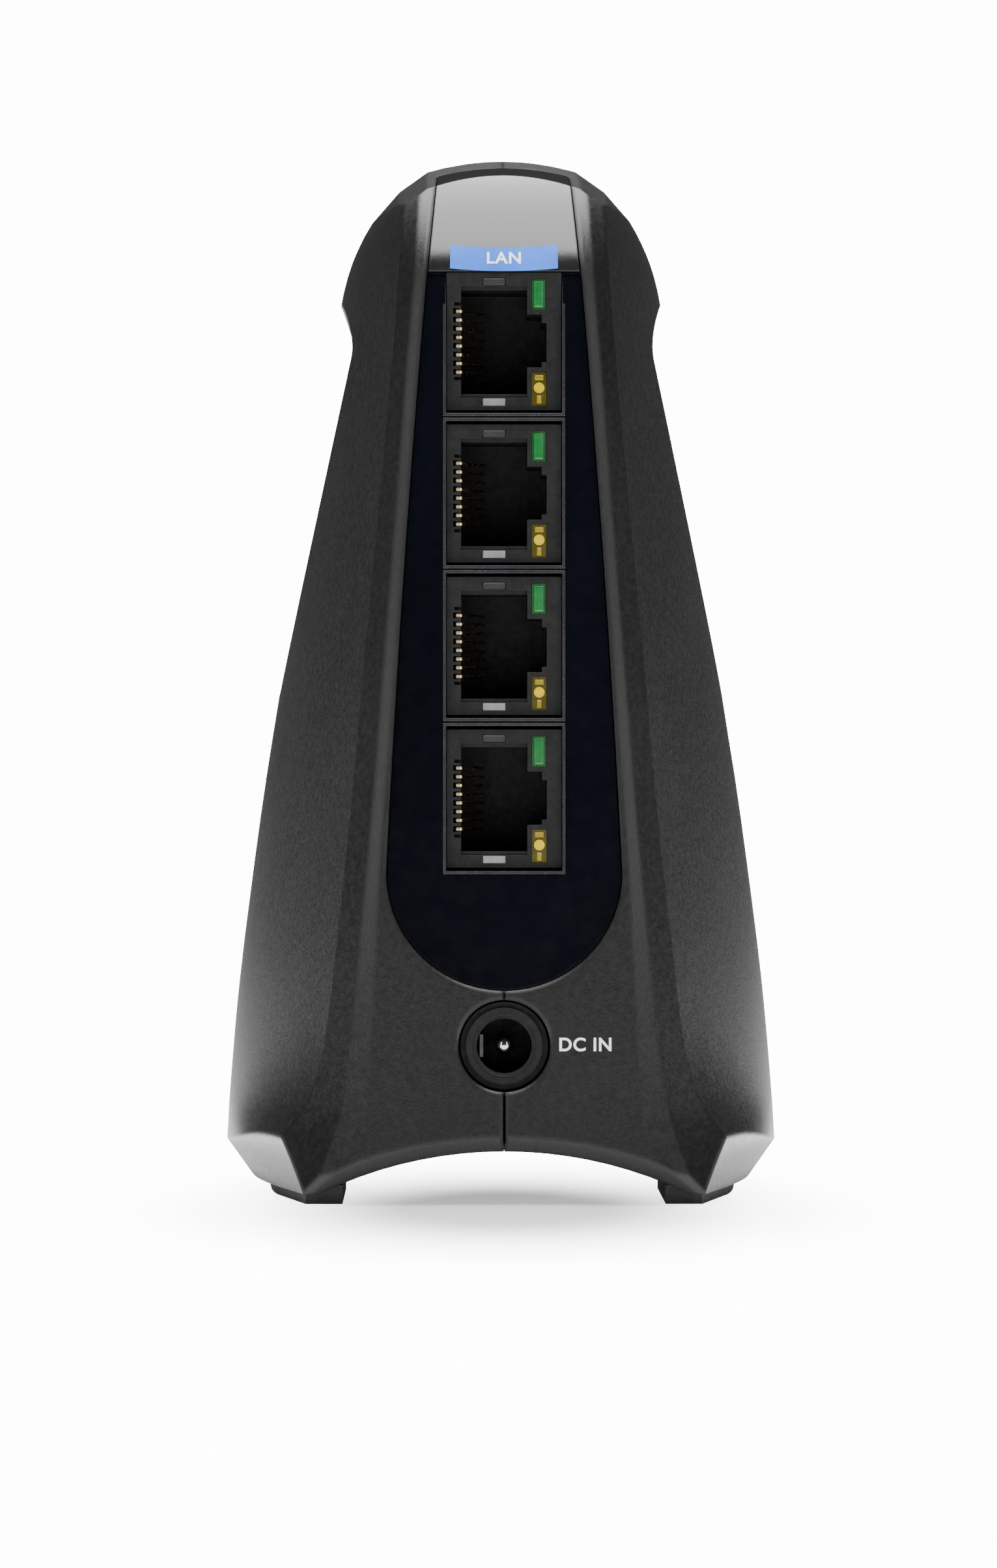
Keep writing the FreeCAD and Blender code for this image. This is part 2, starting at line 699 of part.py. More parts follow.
def lens_form(grow, y0, y1):
    half = LENS_W / 2 + grow
    face = outline([
        v(-half, y0, LENS_LOW_Z), v(-half, y0, LENS_HIGH_Z),
        (v(0, y0, LENS_HIGH_Z + half), v(half, y0, LENS_HIGH_Z)),
        v(half, y0, LENS_LOW_Z),
        (v(0, y0, LENS_LOW_Z - half), v(-half, y0, LENS_LOW_Z)),
    ])
    return face.extrude(v(0, y1 - y0, 0))


def front_skin(inset0, inset1):
    """A slice between two depths below the leaning front face."""
    z0, z1 = 20.0, FRONT_TURN_Z
    face = outline([
        v(-40, front_y(z0) - inset0, z0), v(-40, front_y(z1) - inset0, z1),
        v(-40, front_y(z1) - inset1, z1), v(-40, front_y(z0) - inset1, z0),
    ])
    return face.extrude(v(80, 0, 0))


def button_holes():
    return [
        along_y(PAIR_R + PAIR_GAP, DEPTH - 20, DEPTH + 10, 0, PAIR_Z),
        lens_form(0.05, DEPTH - 20, DEPTH + 10),
        along_z(RESET_R + 0.3, 0, 12, RESET_X, RESET_Y),
    ]


def pairing_parts():
    inner_y = front_y(PAIR_Z + PAIR_R) - WALL
    flange_y1 = inner_y - 0.35
    cap = fused([
        along_y(PAIR_R, flange_y1 - 1, PAIR_FACE_Y, 0, PAIR_Z),
        along_y(PAIR_R + 1.4, flange_y1 - 1.2, flange_y1, 0, PAIR_Z),
        along_y(2.0, LIGHT_BOARD_Y + 4.4, flange_y1, 0, PAIR_Z),
    ])
    dish = Part.makeSphere(30.0, v(0, PAIR_FACE_Y + 29.4, PAIR_Z))
    cap = cap.cut(dish)
    body = box(-3, 3, LIGHT_BOARD_Y, LIGHT_BOARD_Y + 3.4, PAIR_Z - 3, PAIR_Z + 3)
    body = body.cut(along_y(1.75, LIGHT_BOARD_Y + 1.6, LIGHT_BOARD_Y + 5, 0, PAIR_Z))
    plunger = along_y(1.4, LIGHT_BOARD_Y + 2.6, LIGHT_BOARD_Y + 4.4, 0, PAIR_Z)
    return {"pairing_button": cap, "pairing_switch": body, "pairing_switch_plunger": plunger}


def reset_parts():
    roof = ARCH_TOP_Z + WALL
    cap = fused([
        along_z(RESET_R, ARCH_TOP_Z + 0.5, 11.2, RESET_X, RESET_Y),
        along_z(RESET_R + 0.9, roof + 0.3, roof + 1.2, RESET_X, RESET_Y),
    ])
    body = box(BOARD_X, RESET_X + 3, RESET_Y - 3, RESET_Y + 3, 11.9, 15.4)
    body = body.cut(along_z(1.35, 11, 13.6, RESET_X, RESET_Y))
    plunger = along_z(1.0, 11.2, 12.9, RESET_X, RESET_Y)
    return {"reset_button": cap, "reset_switch": body, "reset_switch_plunger": plunger}


def front_parts():
    lens = lens_form(0.0, DEPTH - 20, DEPTH + 10).common(front_skin(0.25, 1.9))
    board = box(-8, 8, LIGHT_BOARD_Y - 1.2, LIGHT_BOARD_Y, PAIR_Z - 7, LENS_HIGH_Z + 4)
    lights = []
    guides = []
    for z in LIGHTS_Z:
        lights.append(box(-1.6, 1.6, LIGHT_BOARD_Y, LIGHT_BOARD_Y + 1.1, z - 1.2, z + 1.2))
        guide = along_y(1.9, LIGHT_BOARD_Y + 1.2, front_y(z) - 2.2, 0, z)
        guides.append(guide)
    rib = box(-1.0, 1.0, LIGHT_BOARD_Y + 2.4, LIGHT_BOARD_Y + 3.4, LIGHTS_Z[0], LIGHTS_Z[-1])
    return {
        "front_lens": lens.Solids[0],
        "light_board": board,
        "status_lights": Part.makeCompound(lights),
        "light_guide": fused(guides + [rib]),
    }


def light_board_link():
    """A flat plug-in strip from the main board to the light board."""
    return box(BOARD_X, BOARD_X + 3.0, 99.0, LIGHT_BOARD_Y - 1.2, 70, 82)


def rating_plate():
    """A thin blank plate on the roof of the tunnel."""
    lower_face = cylinder(ARCH_R - 0.2, DEPTH + 40, v(0, -20, ARCH_TOP_Z - ARCH_R), v(0, 1, 0))
    return arch_tool().cut(lower_face).common(box(-11, 11, 34, 62, 0, 20)).Solids[0]


# ---------------------------------------------------------------- assembly
def nodes():
    every = {}
    every.update(shells())
    every["port_panel"] = port_panel()
    every["top_cap"] = top_cap()
    every["port_label"] = port_label()
    for i in range(PORT_COUNT):
        every["jack_" + str(i + 1)] = jack(i)
        every["jack_contacts_" + str(i + 1)] = jack_contacts(i)
    every["green_port_lights"] = green_lights()
    every["amber_port_lights"] = amber_lights()
    every["earth_tabs"] = earth_tabs()
    every["dc_jack"] = dc_jack()
    every["dc_pin"] = dc_pin()
    every["dc_spring"] = dc_spring()
    every["main_board"] = main_board()
    every["board_screws"] = board_screws()
    every["chassis"] = chassis()
    every["foot_screws"] = foot_screws()
    every.update(feet())
    every.update(board_parts())
    every.update(radio_parts())
    every.update(pairing_parts())
    every.update(reset_parts())
    every.update(front_parts())
    every["light_board_link"] = light_board_link()
    every["rating_plate"] = rating_plate()
    return every


def main():
    os.makedirs("parts", exist_ok=True)
    every = nodes()
    bounds = every["left_shell"].optimalBoundingBox(True, False)
    shift = v(0, -(bounds.YMin + bounds.YMax) / 2, 0)
    print("moved back by", round(-shift.y, 4))
    for name, shape in every.items():
        shape.translate(shift)
        shape.exportStep("parts/" + name + ".step")
        print(name, round(shape.Volume, 1), shape.isValid(), len(shape.Solids))


main()
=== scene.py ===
"""Looks for the upright network unit: finishes, small modelled pieces, floor, lights and camera."""

import bpy
import json
import math
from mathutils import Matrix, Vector


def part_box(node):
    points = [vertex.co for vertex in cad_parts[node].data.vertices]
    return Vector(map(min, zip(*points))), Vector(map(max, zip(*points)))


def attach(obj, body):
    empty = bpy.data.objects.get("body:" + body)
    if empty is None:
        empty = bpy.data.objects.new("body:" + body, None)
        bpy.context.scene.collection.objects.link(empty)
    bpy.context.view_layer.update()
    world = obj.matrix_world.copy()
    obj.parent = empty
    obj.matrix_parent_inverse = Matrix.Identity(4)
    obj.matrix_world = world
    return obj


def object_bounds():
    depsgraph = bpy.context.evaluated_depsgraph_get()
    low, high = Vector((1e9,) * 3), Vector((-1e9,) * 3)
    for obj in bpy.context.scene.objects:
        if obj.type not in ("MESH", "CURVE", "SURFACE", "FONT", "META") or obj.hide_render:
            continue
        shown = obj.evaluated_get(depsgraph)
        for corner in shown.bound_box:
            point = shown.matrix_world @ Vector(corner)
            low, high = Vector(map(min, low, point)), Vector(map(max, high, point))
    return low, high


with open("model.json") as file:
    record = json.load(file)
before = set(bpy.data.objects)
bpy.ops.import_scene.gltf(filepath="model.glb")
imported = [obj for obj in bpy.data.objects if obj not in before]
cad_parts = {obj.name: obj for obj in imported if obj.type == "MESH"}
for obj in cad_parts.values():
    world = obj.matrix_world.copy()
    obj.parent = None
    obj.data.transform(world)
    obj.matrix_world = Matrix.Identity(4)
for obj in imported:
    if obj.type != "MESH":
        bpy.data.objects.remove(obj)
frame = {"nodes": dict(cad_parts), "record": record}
CAD_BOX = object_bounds()
NODES = frame["nodes"]
MM = 0.001


# ---------------------------------------------------------------- material tools
NOISE_LOW, NOISE_HIGH = 0.3, 0.7  # the part of a noise's range that carries the change
EDGE_SAMPLES = 4                  # samples of the shading that softens an edge


def new_material(name):
    material = bpy.data.materials.new(name)
    material.use_nodes = True
    return material, material.node_tree, material.node_tree.nodes["Principled BSDF"]


def set_surface(shader, colour, roughness, **sockets):
    """Constants of a shader. The spaces in a socket's name are written as underscores."""
    shader.inputs["Base Color"].default_value = (*colour, 1.0)
    shader.inputs["Roughness"].default_value = roughness
    for name, value in sockets.items():
        shader.inputs[name.replace("_", " ")].default_value = value


def add_node(tree, kind, **values):
    node = tree.nodes.new(kind)
    for name, value in values.items():
        if name in node.inputs:
            node.inputs[name].default_value = value
        else:
            setattr(node, name, value)
    return node


def object_noise(tree, scale, detail=3.0, roughness=0.55):
    """Noise that stays with the piece. All of a material's noises share one place node."""
    place = tree.nodes.get("Place") or tree.nodes.new("ShaderNodeTexCoord")
    place.name = "Place"
    noise = add_node(tree, "ShaderNodeTexNoise", Scale=scale, Detail=detail, Roughness=roughness)
    tree.links.new(place.outputs["Object"], noise.inputs["Vector"])
    return noise.outputs["Fac"]


def ramp(tree, source, colour_low, colour_high):
    node = tree.nodes.new("ShaderNodeValToRGB")
    node.color_ramp.elements[0].position = NOISE_LOW
    node.color_ramp.elements[1].position = NOISE_HIGH
    node.color_ramp.elements[0].color = (*colour_low, 1.0)
    node.color_ramp.elements[1].color = (*colour_high, 1.0)
    tree.links.new(source, node.inputs["Fac"])
    return node.outputs["Color"]


def vary_colour(tree, shader, source, low, high):
    tree.links.new(ramp(tree, source, low, high), shader.inputs["Base Color"])


def vary_roughness(tree, shader, source, low, high):
    span = add_node(tree, "ShaderNodeMapRange")
    span.inputs["From Min"].default_value = NOISE_LOW
    span.inputs["From Max"].default_value = NOISE_HIGH
    span.inputs["To Min"].default_value = low
    span.inputs["To Max"].default_value = high
    tree.links.new(source, span.inputs["Value"])
    tree.links.new(span.outputs["Result"], shader.inputs["Roughness"])


def add_bump(tree, shader, source, height, strength):
    """Bump on top of whatever already bends the shader's normal."""
    bump = add_node(tree, "ShaderNodeBump", Strength=strength, Distance=height)
    previous = shader.inputs["Normal"].links
    if previous:
        tree.links.new(previous[0].from_socket, bump.inputs["Normal"])
    tree.links.new(source, bump.inputs["Height"])
    tree.links.new(bump.outputs["Normal"], shader.inputs["Normal"])


def round_edges(tree, shader, radius):
    """Shading that softens hard edges. It comes before add_bump, which builds on it."""
    edge = tree.nodes.new("ShaderNodeBevel")
    edge.samples = EDGE_SAMPLES
    edge.inputs["Radius"].default_value = radius
    tree.links.new(edge.outputs["Normal"], shader.inputs["Normal"])


# ---------------------------------------------------------------- finishes
def moulded_black():
    """Fine-sparked charcoal ABS with a soft satin sheen."""
    material, tree, shader = new_material("moulded_black")
    set_surface(shader, (0.005, 0.005, 0.0052), 0.34, Specular_IOR_Level=0.4)
    round_edges(tree, shader, 0.8 * MM)
    mottle = object_noise(tree, scale=60, detail=4)
    vary_colour(tree, shader, mottle, (0.0042, 0.0042, 0.0044), (0.0062, 0.0062, 0.0064))
    vary_roughness(tree, shader, object_noise(tree, scale=1500, detail=2), 0.30, 0.40)
    spark = object_noise(tree, scale=3200, detail=3, roughness=0.6)
    add_bump(tree, shader, spark, 0.05 * MM, 0.35)
    return material


def polished_navy():
    """The port panel's polished, almost black blue."""
    material, tree, shader = new_material("polished_navy")
    set_surface(shader, (0.0012, 0.0015, 0.0035), 0.14, IOR=1.45)
    round_edges(tree, shader, 0.15 * MM)
    mottle = object_noise(tree, scale=45, detail=3)
    vary_colour(tree, shader, mottle, (0.0008, 0.0011, 0.0026), (0.0014, 0.0018, 0.0042))
    vary_roughness(tree, shader, object_noise(tree, scale=500, detail=3), 0.12, 0.17)
    add_bump(tree, shader, object_noise(tree, scale=900, detail=2), 0.01 * MM, 0.15)
    return material


def polished_cap():
    """The cap over the top: a neutral black gloss, a little softer than the panel's."""
    material, tree, shader = new_material("polished_cap")
    set_surface(shader, (0.006, 0.006, 0.0065), 0.16, IOR=1.52)
    round_edges(tree, shader, 0.3 * MM)
    mottle = object_noise(tree, scale=60, detail=3)
    vary_colour(tree, shader, mottle, (0.005, 0.005, 0.0055), (0.007, 0.007, 0.0075))
    vary_roughness(tree, shader, object_noise(tree, scale=900, detail=3), 0.14, 0.18)
    add_bump(tree, shader, object_noise(tree, scale=2600, detail=2), 0.02 * MM, 0.2)
    return material


def printed_blue():
    """The port label's blue film."""
    material, tree, shader = new_material("printed_blue")
    set_surface(shader, (0.022, 0.14, 0.62), 0.5, Specular_IOR_Level=0.2)
    mottle = object_noise(tree, scale=300, detail=3)
    vary_colour(tree, shader, mottle, (0.018, 0.125, 0.56), (0.026, 0.155, 0.68))
    vary_roughness(tree, shader, object_noise(tree, scale=1200, detail=2), 0.34, 0.44)
    add_bump(tree, shader, object_noise(tree, scale=2500, detail=2), 0.01 * MM, 0.2)
    return material


def printed_white():
    """The ink of the printed words."""
    material, tree, shader = new_material("printed_white")
    set_surface(shader, (0.82, 0.84, 0.86), 0.45)
    mottle = object_noise(tree, scale=900, detail=3)
    vary_colour(tree, shader, mottle, (0.76, 0.78, 0.8), (0.86, 0.88, 0.9))
    add_bump(tree, shader, object_noise(tree, scale=4000, detail=2), 0.01 * MM, 0.3)
    return material


def socket_black():
    """Glass-filled socket plastic: dull, slightly mottled."""
    material, tree, shader = new_material("socket_black")
    set_surface(shader, (0.006, 0.0065, 0.0065), 0.5, Specular_IOR_Level=0.2)
    round_edges(tree, shader, 0.08 * MM)
    mottle = object_noise(tree, scale=700, detail=5, roughness=0.7)
    vary_colour(tree, shader, mottle, (0.003, 0.0033, 0.0034), (0.009, 0.0095, 0.0095))
    vary_roughness(tree, shader, object_noise(tree, scale=1300, detail=3), 0.42, 0.6)
    tooth = object_noise(tree, scale=2400, detail=4, roughness=0.7)
    add_bump(tree, shader, tooth, 0.04 * MM, 0.5)
    return material


def metal(name, colour, roughness):
    """Metal with slightly darker patches, uneven gloss and a fine grain."""
    grain, dark = 1800, 0.8
    material, tree, shader = new_material(name)
    set_surface(shader, colour, roughness, Metallic=1.0)
    darker = tuple(c * dark for c in colour)
    vary_colour(tree, shader, object_noise(tree, grain / 3, 4), darker, colour)
    gloss = object_noise(tree, grain, 3)
    vary_roughness(tree, shader, gloss, roughness * 0.8, roughness * 1.3)
    add_bump(tree, shader, object_noise(tree, grain * 1.6, 2), 0.015 * MM, 0.4)
    return material


def gold_with_painted_glint():
    """Polished gold of the contact bends, with a painted glint: a faint warm glow stands in for the
    catch of light that such curves show.
    """
    material = metal("tip_gold_painted_glint", (1.0, 0.78, 0.46), 0.18)
    shader = material.node_tree.nodes["Principled BSDF"]
    # painted highlight: this glow paints the glint of light on the bends
    shader.inputs["Emission Color"].default_value = (1.0, 0.70, 0.42, 1.0)
    shader.inputs["Emission Strength"].default_value = 0.4
    return material


def lit_plastic(name, colour, glow, strength):
    """Tinted clear plastic with a blotchy glow from inside it."""
    dim = 0.55  # the darkest blotch, as a share of the full glow
    material, tree, shader = new_material(name)
    set_surface(shader, colour, 0.25)
    vary_roughness(tree, shader, object_noise(tree, scale=900, detail=2), 0.18, 0.32)
    blotch = object_noise(tree, scale=420, detail=3)
    glow_colour = ramp(tree, blotch, tuple(c * dim for c in glow), glow)
    tree.links.new(glow_colour, shader.inputs["Emission Color"])
    shader.inputs["Emission Strength"].default_value = strength
    return material


def soft_rubber():
    """The feet's matt rubber."""
    material, tree, shader = new_material("soft_rubber")
    set_surface(shader, (0.035, 0.035, 0.034), 0.75)
    mottle = object_noise(tree, scale=250, detail=4)
    vary_colour(tree, shader, mottle, (0.028, 0.028, 0.027), (0.045, 0.045, 0.043))
    vary_roughness(tree, shader, object_noise(tree, scale=900, detail=3), 0.68, 0.85)
    add_bump(tree, shader, object_noise(tree, scale=1800, detail=4), 0.04 * MM, 0.5)
    return material


def plain_finish(name, low, high, rough_low, rough_high, scale=900, bump=0.02):
    """A moulded, printed or fired surface: mottled colour, uneven gloss and a fine tooth."""
    material, tree, shader = new_material(name)
    set_surface(shader, low, rough_low)
    vary_colour(tree, shader, object_noise(tree, scale / 3, 4), low, high)
    vary_roughness(tree, shader, object_noise(tree, scale, 3), rough_low, rough_high)
    add_bump(tree, shader, object_noise(tree, scale * 2, 3), bump * MM, 0.4)
    return material


def finishes():
    """One finish for each material slot of the frame."""
    return {
        "housing": moulded_black(),
        "gloss_panel": polished_navy(),
        "label": printed_blue(),
        "jack_plastic": socket_black(),
        "contact_gold": metal("contact_gold", (0.95, 0.68, 0.34), 0.22),
        "light_green": lit_plastic(
            "light_green", (0.003, 0.04, 0.008), (0.006, 0.18, 0.03), 0.22),
        "light_amber": lit_plastic(
            "light_amber", (0.03, 0.025, 0.0), (0.60, 0.46, 0.0), 0.1),
        "tin_plate": metal("tin_plate", (0.3, 0.3, 0.3), 0.5),
        "pin_nickel": metal("pin_nickel", (0.75, 0.73, 0.69), 0.16),
        "rubber": soft_rubber(),
        "board": plain_finish(
            "board_green", (0.006, 0.07, 0.028), (0.012, 0.11, 0.045), 0.25, 0.4, scale=700),
        "chip_black": plain_finish(
            "chip_black", (0.013, 0.013, 0.014), (0.022, 0.022, 0.023), 0.5, 0.65, scale=1600),
        "sink": metal("black_anodised", (0.06, 0.06, 0.065), 0.45),
        "pad_grey": plain_finish(
            "pad_grey", (0.28, 0.29, 0.33), (0.36, 0.37, 0.41), 0.7, 0.85),
        "can_sleeve": plain_finish(
            "can_sleeve", (0.02, 0.02, 0.05), (0.03, 0.03, 0.07), 0.25, 0.35),
        "ceramic_part": plain_finish(
            "ceramic_part", (0.36, 0.27, 0.18), (0.5, 0.4, 0.3), 0.35, 0.5),
        "ferrite": plain_finish(
            "ferrite", (0.05, 0.05, 0.055), (0.09, 0.09, 0.095), 0.6, 0.75),
        "frame_plastic": plain_finish(
            "frame_plastic", (0.035, 0.035, 0.038), (0.055, 0.055, 0.058), 0.45, 0.6),
        "screw_steel": metal("screw_steel", (0.6, 0.6, 0.58), 0.32),
        "lead_jacket": plain_finish(
            "lead_jacket", (0.014, 0.014, 0.014), (0.025, 0.025, 0.025), 0.35, 0.45),
        "lens_dark": plain_finish(
            "lens_dark", (0.004, 0.004, 0.006), (0.007, 0.007, 0.01), 0.08, 0.14,
            scale=500, bump=0.004),
        "light_clear": plain_finish(
            "light_clear", (0.7, 0.72, 0.75), (0.8, 0.82, 0.85), 0.1, 0.2,
            scale=600, bump=0.006),
        "button_grey": plain_finish(
            "button_grey", (0.05, 0.05, 0.055), (0.075, 0.075, 0.08), 0.32, 0.42, scale=1400),
        "plate_silver": plain_finish(
            "plate_silver", (0.5, 0.51, 0.52), (0.62, 0.63, 0.64), 0.35, 0.5, scale=1000),
    }


def dress_nodes(looks):
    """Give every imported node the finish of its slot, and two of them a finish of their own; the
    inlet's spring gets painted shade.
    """
    slots = {part["node"]: part["material_slot"] for part in frame["record"]["subparts"]}
    for name, node in NODES.items():
        node.data.materials.clear()
        node.data.materials.append(looks[slots[name]])
    NODES["top_cap"].data.materials[0] = polished_cap()
    # painted shade: the spring's metal is made near black for the shade deep in the inlet's barrel
    NODES["dc_spring"].data.materials[0] = metal("spring_painted_shade", (0.10, 0.10, 0.10), 0.5)


# ---------------------------------------------------------------- places, from the frame
JACKS = ["jack_1", "jack_2", "jack_3", "jack_4"]
CUTOUT_WIDTH = 13.65 * MM   # the panel's opening round a jack
CUTOUT_HEIGHT = 16.9 * MM
FACE_LEAN = 0.05            # how far the port end runs back for each unit of height
TURN_Z = 102 * MM           # where the port end starts to turn over the top
TURN_R = 22 * MM            # radius of that turn on the housing
PANEL_TURN_R = 21.5 * MM    # and on the panel's face
PANEL_RECESS = 0.5 * MM     # how far the panel's face lies behind the housing's
PANEL_LOW, PANEL_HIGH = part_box("port_panel")
DC_LOW, DC_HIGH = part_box("dc_pin")
DC_CENTRE_Z = (DC_LOW[2] + DC_HIGH[2]) / 2
LABEL_LOW, LABEL_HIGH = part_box("port_label")


def panel_face_y(z):
    return PANEL_LOW[1] + FACE_LEAN * (z - PANEL_LOW[2])


def housing_face_y(z):
    return panel_face_y(z) - PANEL_RECESS


def jack_point(name, right, down, behind):
    """A place measured from the upper left corner of a jack's face."""
    low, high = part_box(name)
    return Vector((low[0] + right, low[1] + behind, high[2] - down))


# ---------------------------------------------------------------- mesh tools
def select_only(piece):
    bpy.ops.object.select_all(action="DESELECT")
    piece.select_set(True)
    bpy.context.view_layer.objects.active = piece


def bake_place(piece):
    """Leave the piece where it is, with its object at the origin, unturned and unscaled."""
    select_only(piece)
    bpy.ops.object.transform_apply(location=True, rotation=True, scale=True)


def finish_piece(piece, name, material, body="housing"):
    piece.name = name
    piece.data.name = name
    piece.data.materials.clear()
    piece.data.materials.append(material)
    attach(piece, body)


def outward(piece):
    """Turn every face to the outside."""
    select_only(piece)
    bpy.ops.object.mode_set(mode="EDIT")
    bpy.ops.mesh.select_all(action="SELECT")
    bpy.ops.mesh.normals_make_consistent(inside=False)
    bpy.ops.object.mode_set(mode="OBJECT")


def bevel_piece(piece, width, segments=2):
    select_only(piece)
    edge = piece.modifiers.new("edge", "BEVEL")
    edge.width = width
    edge.segments = segments
    edge.limit_method = "ANGLE"
    bpy.ops.object.modifier_apply(modifier="edge")


def flat_start(width, height):
    """A rectangle lying face up round the origin."""
    bpy.ops.object.select_all(action="DESELECT")
    bpy.ops.mesh.primitive_plane_add(size=1.0, location=(0, 0, 0))
    piece = bpy.context.active_object
    piece.scale = (width, height, 1.0)
    bake_place(piece)
    return piece


def stand_up(piece, place, lean):
    """Turn a piece that lies face up so that it faces the port end, and put it in its place."""
    piece.rotation_euler = (math.pi / 2 - lean, 0, 0)
    piece.location = place
    bake_place(piece)


def join_all(pieces):
    bpy.ops.object.select_all(action="DESELECT")
    for piece in pieces:
        piece.select_set(True)
    bpy.context.view_layer.objects.active = pieces[0]
    bpy.ops.object.join()
    return pieces[0]


def stepped_plate(width, height, thick, border, step, edge, segments=2):
    """A plate lying face up. Inside a border its top rises by step, or sinks where step is < 0."""
    piece = flat_start(width, height)
    bpy.ops.object.mode_set(mode="EDIT")
    bpy.ops.mesh.select_all(action="SELECT")
    bpy.ops.mesh.extrude_region_move(TRANSFORM_OT_translate={"value": (0, 0, thick)})
    bpy.ops.mesh.inset(thickness=border, depth=step)
    bpy.ops.object.mode_set(mode="OBJECT")
    outward(piece)
    bevel_piece(piece, edge, segments)
    return piece


# ---------------------------------------------------------------- beads round the ports
RIM_BAND = 0.34 * MM    # width of the bead
RIM_DEPTH = 0.30 * MM   # its size front to back
RIM_SINK = 0.14 * MM    # how far its back lies behind the panel's face
RIM_EDGE = 0.1 * MM
RIM_LAP = 0.1 * MM      # how much narrower it is inside than the panel's opening
RIM_CLEAR = 0.03 * MM   # how far it stays below the panel's top
RIM_CUTS = 7            # cuts along each side, so that the bead can follow the turn


def ring_frame(width, height, band, depth, edge):
    """A rectangular frame with softened edges, lying face up."""
    piece = flat_start(width + 2 * band, height + 2 * band)
    bpy.ops.object.mode_set(mode="EDIT")
    bpy.ops.mesh.select_all(action="SELECT")
    bpy.ops.mesh.inset(thickness=band)
    bpy.ops.mesh.delete(type="FACE")
    bpy.ops.mesh.select_all(action="SELECT")
    bpy.ops.mesh.extrude_region_move(TRANSFORM_OT_translate={"value": (0, 0, depth)})
    bpy.ops.mesh.select_all(action="SELECT")
    bpy.ops.mesh.subdivide(number_cuts=RIM_CUTS)
    bpy.ops.object.mode_set(mode="OBJECT")
    outward(piece)
    bevel_piece(piece, edge)
    return piece


def follow_panel_turn(piece):
    """Bring a piece back over the top, as the panel's face does above its turn."""
    for vertex in piece.data.vertices:
        rise = max(vertex.co.z - TURN_Z, 0.0)
        vertex.co.y += PANEL_TURN_R - math.sqrt(PANEL_TURN_R ** 2 - rise ** 2)


def build_port_rims(material):
    """A fine raised bead round each opening of the port panel."""
    lean = math.atan(FACE_LEAN)
    for number, jack in enumerate(JACKS, 1):
        low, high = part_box(jack)
        middle = (low[2] + high[2]) / 2
        bottom = middle - CUTOUT_HEIGHT / 2 - RIM_BAND
        top = min(middle + CUTOUT_HEIGHT / 2 + RIM_BAND, PANEL_HIGH[2] - RIM_CLEAR)
        z = (bottom + top) / 2
        inner_height = top - bottom - 2 * RIM_BAND
        rim = ring_frame(CUTOUT_WIDTH - RIM_LAP, inner_height, RIM_BAND, RIM_DEPTH, RIM_EDGE)
        stand_up(rim, (0, panel_face_y(z) + RIM_SINK, z), lean)
        follow_panel_turn(rim)
        finish_piece(rim, "port_rim_%d" % number, material)


# ---------------------------------------------------------------- pieces in the jacks
# places on a jack's face, from its upper left corner: right, down, behind
BULB_AT = (10.8 * MM, 13.45 * MM, 0.42 * MM)
UPPER_CUP_AT = (10.8 * MM, 12.25 * MM, 0.48 * MM)
LOWER_CUP_AT = (10.8 * MM, 14.8 * MM, 0.48 * MM)
GREEN_WINDOW_AT = (10.75 * MM, 2.57 * MM, 0.18 * MM)
UPPER_TAB_AT = (5.55 * MM, 1.075 * MM, 0.75 * MM)

BULB_RADIUS = 0.62 * MM
BULB_COLLAR = 0.2 * MM
BULB_SIDES = 20
# rise and scale of each step of the nose
BULB_STEPS = ((0.0, 0.78), (0.12 * MM, 0.92), (0.14 * MM, 0.7), (0.08 * MM, 0.45))
BULB_SMOOTH = math.radians(50)
LOWER_CUP_SCALE = (0.5, 1.6, 1.0)

CONTACTS = 8
CONTACT_PITCH = 1.016 * MM
TIP_RADIUS = 0.2 * MM
TIP_LENGTH = 0.7 * MM
TIP_SIDES = 12
TIP_EDGE = 0.12 * MM
TIP_RIGHT = 1.45 * MM
TIP_BEHIND = 1.0 * MM


def select_top_face(piece):
    same_height, facing_up = 1e-6, 0.9
    top = max(face.center.z for face in piece.data.polygons)
    for face in piece.data.polygons:
        face.select = abs(face.center.z - top) < same_height and face.normal.z > facing_up


def lamp_bulb():
    """A small lamp body: a collar with a domed nose on it, lying face up."""
    bpy.ops.object.select_all(action="DESELECT")
    bpy.ops.mesh.primitive_cylinder_add(
        vertices=BULB_SIDES, radius=BULB_RADIUS, depth=BULB_COLLAR, location=(0, 0, 0))
    bulb = bpy.context.active_object
    for rise, scale in BULB_STEPS:
        select_top_face(bulb)
        bpy.ops.object.mode_set(mode="EDIT")
        bpy.ops.mesh.extrude_region_move(TRANSFORM_OT_translate={"value": (0, 0, rise)})
        bpy.ops.transform.resize(value=(scale, scale, 1.0))
        bpy.ops.object.mode_set(mode="OBJECT")
    select_only(bulb)
    bpy.ops.object.shade_smooth_by_angle(angle=BULB_SMOOTH)
    return bulb


def lamp_frame():
    """A piece of the metal seen through the tinted body, lying face up."""
    return stepped_plate(
        1.0 * MM, 0.6 * MM, thick=0.12 * MM, border=0.14 * MM, step=-0.06 * MM,
        edge=0.03 * MM, segments=1)


def build_amber_lamps(bulb_look, frame_look):
    """The bulb in each amber light, with its cup above and its post below."""
    for number, jack in enumerate(JACKS, 1):
        bulb = lamp_bulb()
        stand_up(bulb, jack_point(jack, *BULB_AT), 0.0)
        finish_piece(bulb, "amber_bulb_%d" % number, bulb_look)
        upper = lamp_frame()
        stand_up(upper, jack_point(jack, *UPPER_CUP_AT), 0.0)
        lower = lamp_frame()
        lower.scale = LOWER_CUP_SCALE
        bake_place(lower)
        stand_up(lower, jack_point(jack, *LOWER_CUP_AT), 0.0)
        both = join_all([upper, lower])
        finish_piece(both, "amber_cup_%d" % number, frame_look)


